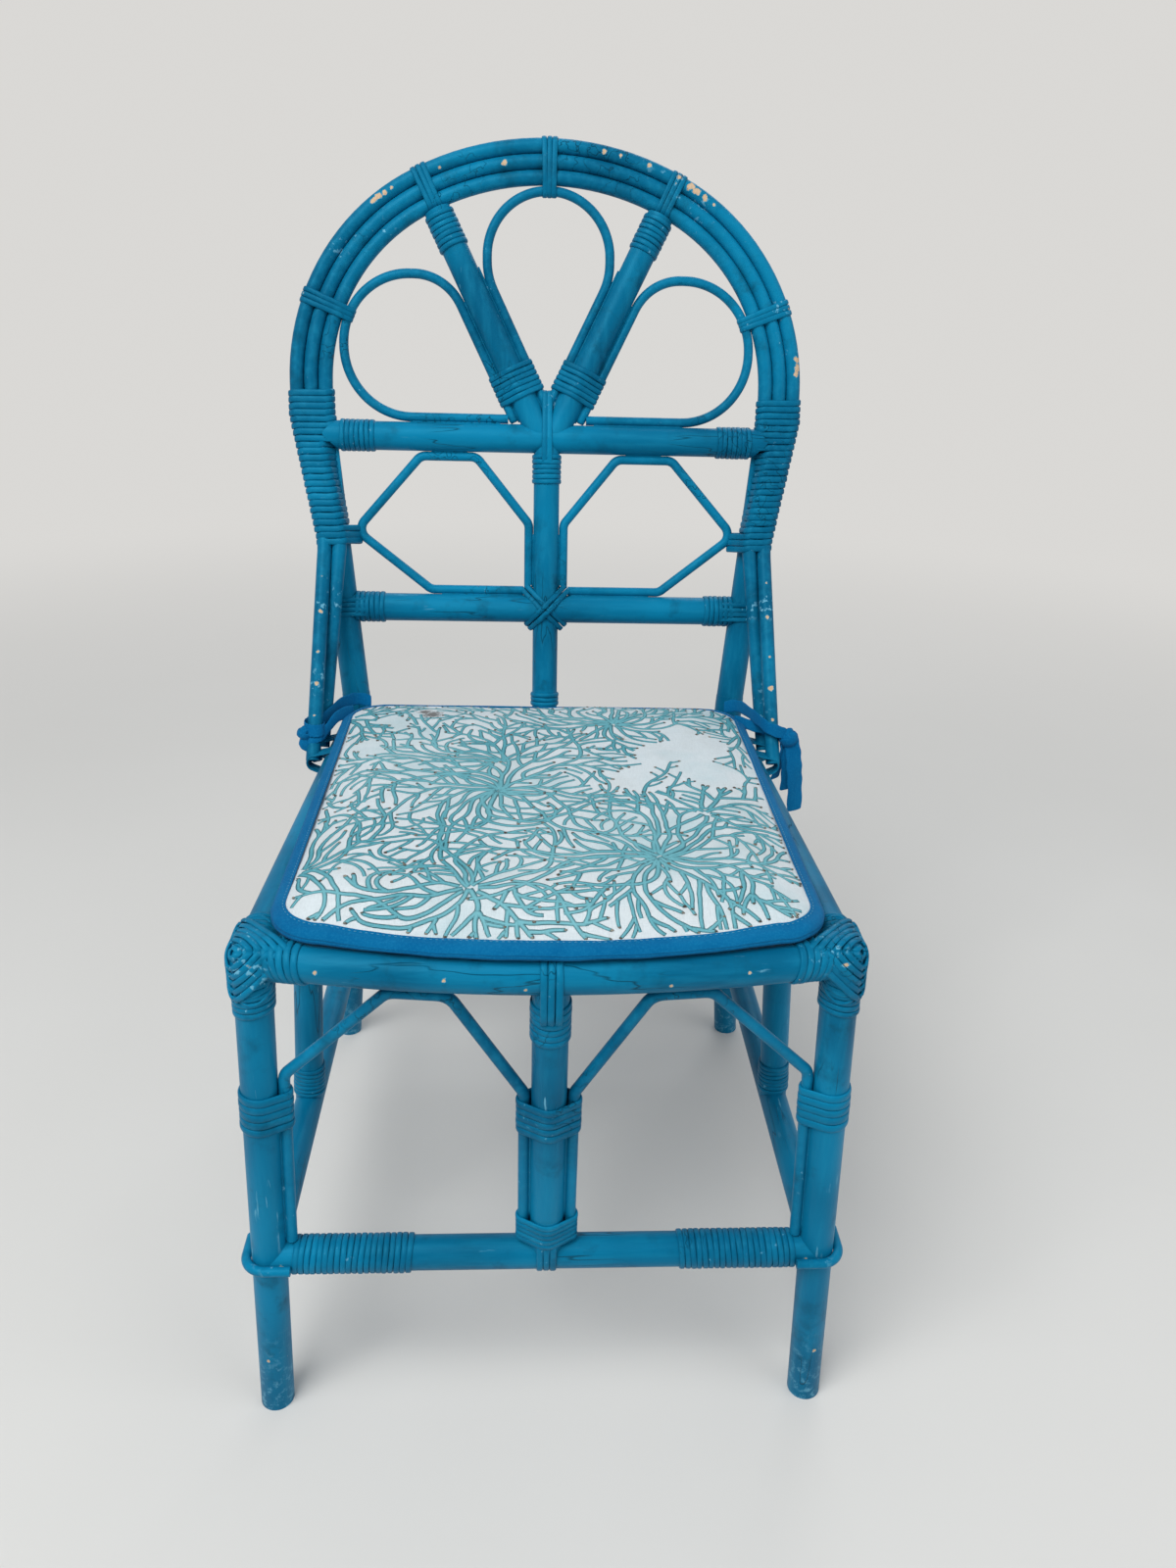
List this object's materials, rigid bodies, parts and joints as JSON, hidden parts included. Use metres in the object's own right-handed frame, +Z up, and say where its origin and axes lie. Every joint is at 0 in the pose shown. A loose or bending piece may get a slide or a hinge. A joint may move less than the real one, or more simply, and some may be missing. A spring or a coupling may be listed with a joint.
{
  "type": "rattan dining chair",
  "caption": "Weathered teal-blue rattan dining chair, peeling to bare tan cane, with a petal-filled arched back and a tied coral-print seat cushion.",
  "frame": {"origin": "on the floor under the middle of the chair's bounding box", "axes": "+X to the right of someone facing the chair, +Y towards the back of the chair, +Z up; the front faces -Y"},
  "size_m": [0.5172, 0.6108, 1.0181],
  "materials": {
    "painted_cane": "weathered teal-blue paint over cane, chipped, scuffed and grimy",
    "wrapped_cane": "weathered teal-blue paint over split-cane wrapping, worn through to tan",
    "cushion_linen": "off-white linen with a teal coral-branch print, stained",
    "blue_trim": "blue bias edging and ties, faded"
  },
  "bodies": {
    "root": {"front_leg_left": "painted_cane", "front_leg_right": "painted_cane", "rear_pole_left": "painted_cane", "rear_pole_right": "painted_cane", "front_seat_rail": "painted_cane", "side_seat_rail_left": "painted_cane", "side_seat_rail_right": "painted_cane", "rear_seat_rail": "painted_cane", "seat_slats": "painted_cane", "front_stretcher": "painted_cane", "side_stretcher_left": "painted_cane", "side_stretcher_right": "painted_cane", "rear_stretcher": "painted_cane", "front_post": "painted_cane", "side_post_left": "painted_cane", "side_post_right": "painted_cane", "upper_back_rail": "painted_cane", "lower_back_rail": "painted_cane", "back_post": "painted_cane", "fan_spoke_left": "painted_cane", "fan_spoke_right": "painted_cane", "outer_arch_cane": "painted_cane", "middle_arch_cane": "painted_cane", "inner_arch_cane": "painted_cane", "centre_petal_cane": "painted_cane", "left_petal_cane": "painted_cane", "right_petal_cane": "painted_cane", "left_lattice_cane": "painted_cane", "right_lattice_cane": "painted_cane", "left_apron_cane": "painted_cane", "right_apron_cane": "painted_cane", "leg_loop_left": "wrapped_cane", "leg_loop_right": "wrapped_cane", "back_binding_left": "wrapped_cane", "back_binding_right": "wrapped_cane", "arch_straps": "wrapped_cane", "spoke_bindings": "wrapped_cane", "upper_rail_bindings": "wrapped_cane", "lower_rail_bindings": "wrapped_cane", "back_post_bindings": "wrapped_cane", "front_post_bindings": "wrapped_cane", "leg_bindings": "wrapped_cane", "stretcher_bindings": "wrapped_cane", "side_post_bindings": "wrapped_cane", "brace_bindings": "wrapped_cane", "corner_lashing_left": "wrapped_cane", "corner_lashing_right": "wrapped_cane", "seat_cushion": "cushion_linen", "cushion_piping": "blue_trim", "cushion_tie_left": "blue_trim", "cushion_tie_right": "blue_trim"}
  },
  "joints": []
}
